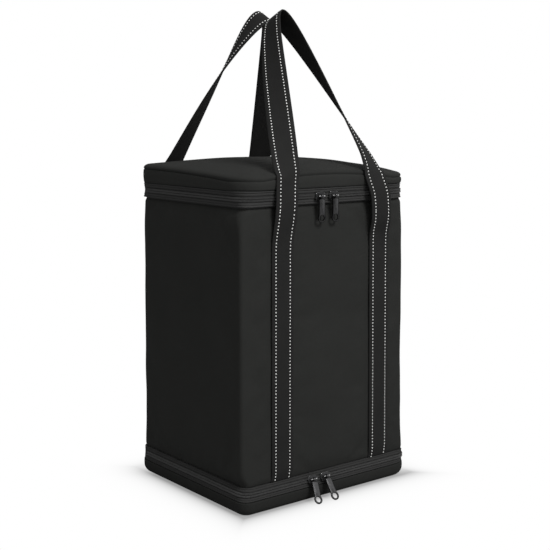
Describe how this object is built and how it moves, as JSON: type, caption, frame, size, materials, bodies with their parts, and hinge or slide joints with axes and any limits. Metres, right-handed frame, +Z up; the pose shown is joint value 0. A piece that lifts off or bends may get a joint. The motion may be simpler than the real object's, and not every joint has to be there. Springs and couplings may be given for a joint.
{
  "type": "wine cooler bag",
  "caption": "Tall soft-sided insulated bag with a crowned zip-round lid, a zip-round base pocket, webbing carry handles and a lift-out padded divider for chilled bottles",
  "frame": {"origin": "the middle of the base's underside, on the floor that the bag stands on", "axes": "+X to the bag's right seen from the front, -Y towards the front with the zip sliders, +Z up"},
  "size_m": [0.256, 0.2511, 0.5571],
  "materials": {
    "outer_fabric": "matte charcoal black woven polyester",
    "webbing": "ribbed charcoal webbing with pale edge stitching",
    "zip_tape": "fine ribbed black zip tape",
    "zip_coil": "black moulded nylon coil",
    "zip_metal": "gunmetal black plated zinc",
    "foam": "white closed-cell foam",
    "silver_lining": "silver coated lining film",
    "dark_lining": "plain black lining cloth",
    "stiff_board": "dark grey plastic stiffener"
  },
  "bodies": {
    "bag_body": {"outer_wall": "outer_fabric", "front_insulation": "foam", "back_insulation": "foam", "left_insulation": "foam", "right_insulation": "foam", "floor_panel": "stiff_board", "floor_insulation": "foam", "inner_lining": "silver_lining", "mouth_binding": "outer_fabric", "lid_zip_lower_tape": "zip_tape", "lid_zip_lower_coil": "zip_coil", "lid_hinge_strip_lower": "outer_fabric", "base_zip_upper_tape": "zip_tape", "base_zip_upper_coil": "zip_coil", "base_hinge_strip_upper": "outer_fabric", "front_left_strap": "webbing", "front_right_strap": "webbing", "back_left_strap": "webbing", "back_right_strap": "webbing"},
    "lid": {"lid_top_panel": "outer_fabric", "lid_side_wall": "outer_fabric", "lid_insulation": "foam", "lid_lining": "silver_lining", "lid_zip_upper_tape": "zip_tape", "lid_zip_upper_coil": "zip_coil", "lid_hinge_strip_upper": "outer_fabric"},
    "base": {"base_shell": "outer_fabric", "base_board": "stiff_board", "base_lining": "dark_lining", "base_zip_lower_tape": "zip_tape", "base_zip_lower_coil": "zip_coil", "base_hinge_strip_lower": "outer_fabric"},
    "front_handle_legs": {"front_handle_left_leg": "webbing", "front_handle_right_leg": "webbing"},
    "front_handle": {"front_handle_loop": "webbing"},
    "back_handle_legs": {"back_handle_left_leg": "webbing", "back_handle_right_leg": "webbing"},
    "back_handle": {"back_handle_loop": "webbing"},
    "lid_slider_left": {"lid_left_slider": "zip_metal"},
    "lid_slider_right": {"lid_right_slider": "zip_metal"},
    "base_slider_left": {"base_left_slider": "zip_metal"},
    "base_slider_right": {"base_right_slider": "zip_metal"},
    "lid_pull_left": {"lid_left_pull": "zip_metal"},
    "lid_pull_right": {"lid_right_pull": "zip_metal"},
    "base_pull_left": {"base_left_pull": "zip_metal"},
    "base_pull_right": {"base_right_pull": "zip_metal"},
    "divider": {"divider_long_panel": "dark_lining", "divider_cross_panel": "dark_lining"}
  },
  "joints": [
    {"name": "lid_hinge", "type": "hinge", "parent": "bag_body", "child": "lid", "pos_m": [0, 0.10655, 0.346], "axis": [-1, 0, 0], "range_deg": [0, 110]},
    {"name": "base_hinge", "type": "hinge", "parent": "bag_body", "child": "base", "pos_m": [0, 0.10933, 0.02263], "axis": [1, 0, 0], "range_deg": [0, 100]},
    {"name": "front_legs_lift", "type": "hinge", "parent": "bag_body", "child": "front_handle_legs", "pos_m": [0, -0.1071, 0.29715], "axis": [1, 0, 0], "range_deg": [0, 132]},
    {"name": "front_handle_fold", "type": "hinge", "parent": "front_handle_legs", "child": "front_handle", "pos_m": [0, -0.11126, 0.36931], "axis": [-1, 0, 0], "range_deg": [-160, 0]},
    {"name": "back_legs_lift", "type": "hinge", "parent": "bag_body", "child": "back_handle_legs", "pos_m": [0, 0.1071, 0.29715], "axis": [-1, 0, 0], "range_deg": [0, 121]},
    {"name": "back_handle_fold", "type": "hinge", "parent": "back_handle_legs", "child": "back_handle", "pos_m": [0, 0.11126, 0.36929], "axis": [1, 0, 0], "range_deg": [-160, 0]},
    {"name": "lid_left_slide", "type": "slide", "parent": "lid", "child": "lid_slider_left", "axis": [-1, 0, 0], "range_m": [0, 0.07]},
    {"name": "lid_right_slide", "type": "slide", "parent": "lid", "child": "lid_slider_right", "axis": [1, 0, 0], "range_m": [0, 0.088]},
    {"name": "base_left_slide", "type": "slide", "parent": "base", "child": "base_slider_left", "axis": [-1, 0, 0], "range_m": [0, 0.059]},
    {"name": "base_right_slide", "type": "slide", "parent": "base", "child": "base_slider_right", "axis": [1, 0, 0], "range_m": [0, 0.1]},
    {"name": "lid_left_pull_swing", "type": "hinge", "parent": "lid_slider_left", "child": "lid_pull_left", "pos_m": [-0.019, -0.11285, 0.346], "axis": [-1, 0, 0], "range_deg": [0, 160]},
    {"name": "lid_right_pull_swing", "type": "hinge", "parent": "lid_slider_right", "child": "lid_pull_right", "pos_m": [0.001, -0.11285, 0.346], "axis": [-1, 0, 0], "range_deg": [0, 160]},
    {"name": "base_left_pull_swing", "type": "hinge", "parent": "base_slider_left", "child": "base_pull_left", "pos_m": [-0.03, -0.1152, 0.02491], "axis": [-1, 0, 0], "range_deg": [-33, 110]},
    {"name": "base_right_pull_swing", "type": "hinge", "parent": "base_slider_right", "child": "base_pull_right", "pos_m": [-0.011, -0.1152, 0.02491], "axis": [-1, 0, 0], "range_deg": [-33, 110]},
    {"name": "divider_lift", "type": "slide", "parent": "bag_body", "child": "divider", "axis": [0, 0, 1], "range_m": [0, 0.1]}
  ],
  "couplings": [
    {"joint": "front_legs_lift", "follows": "lid_hinge", "ratio": 1.2},
    {"joint": "back_legs_lift", "follows": "lid_hinge", "ratio": 1.1}
  ]
}
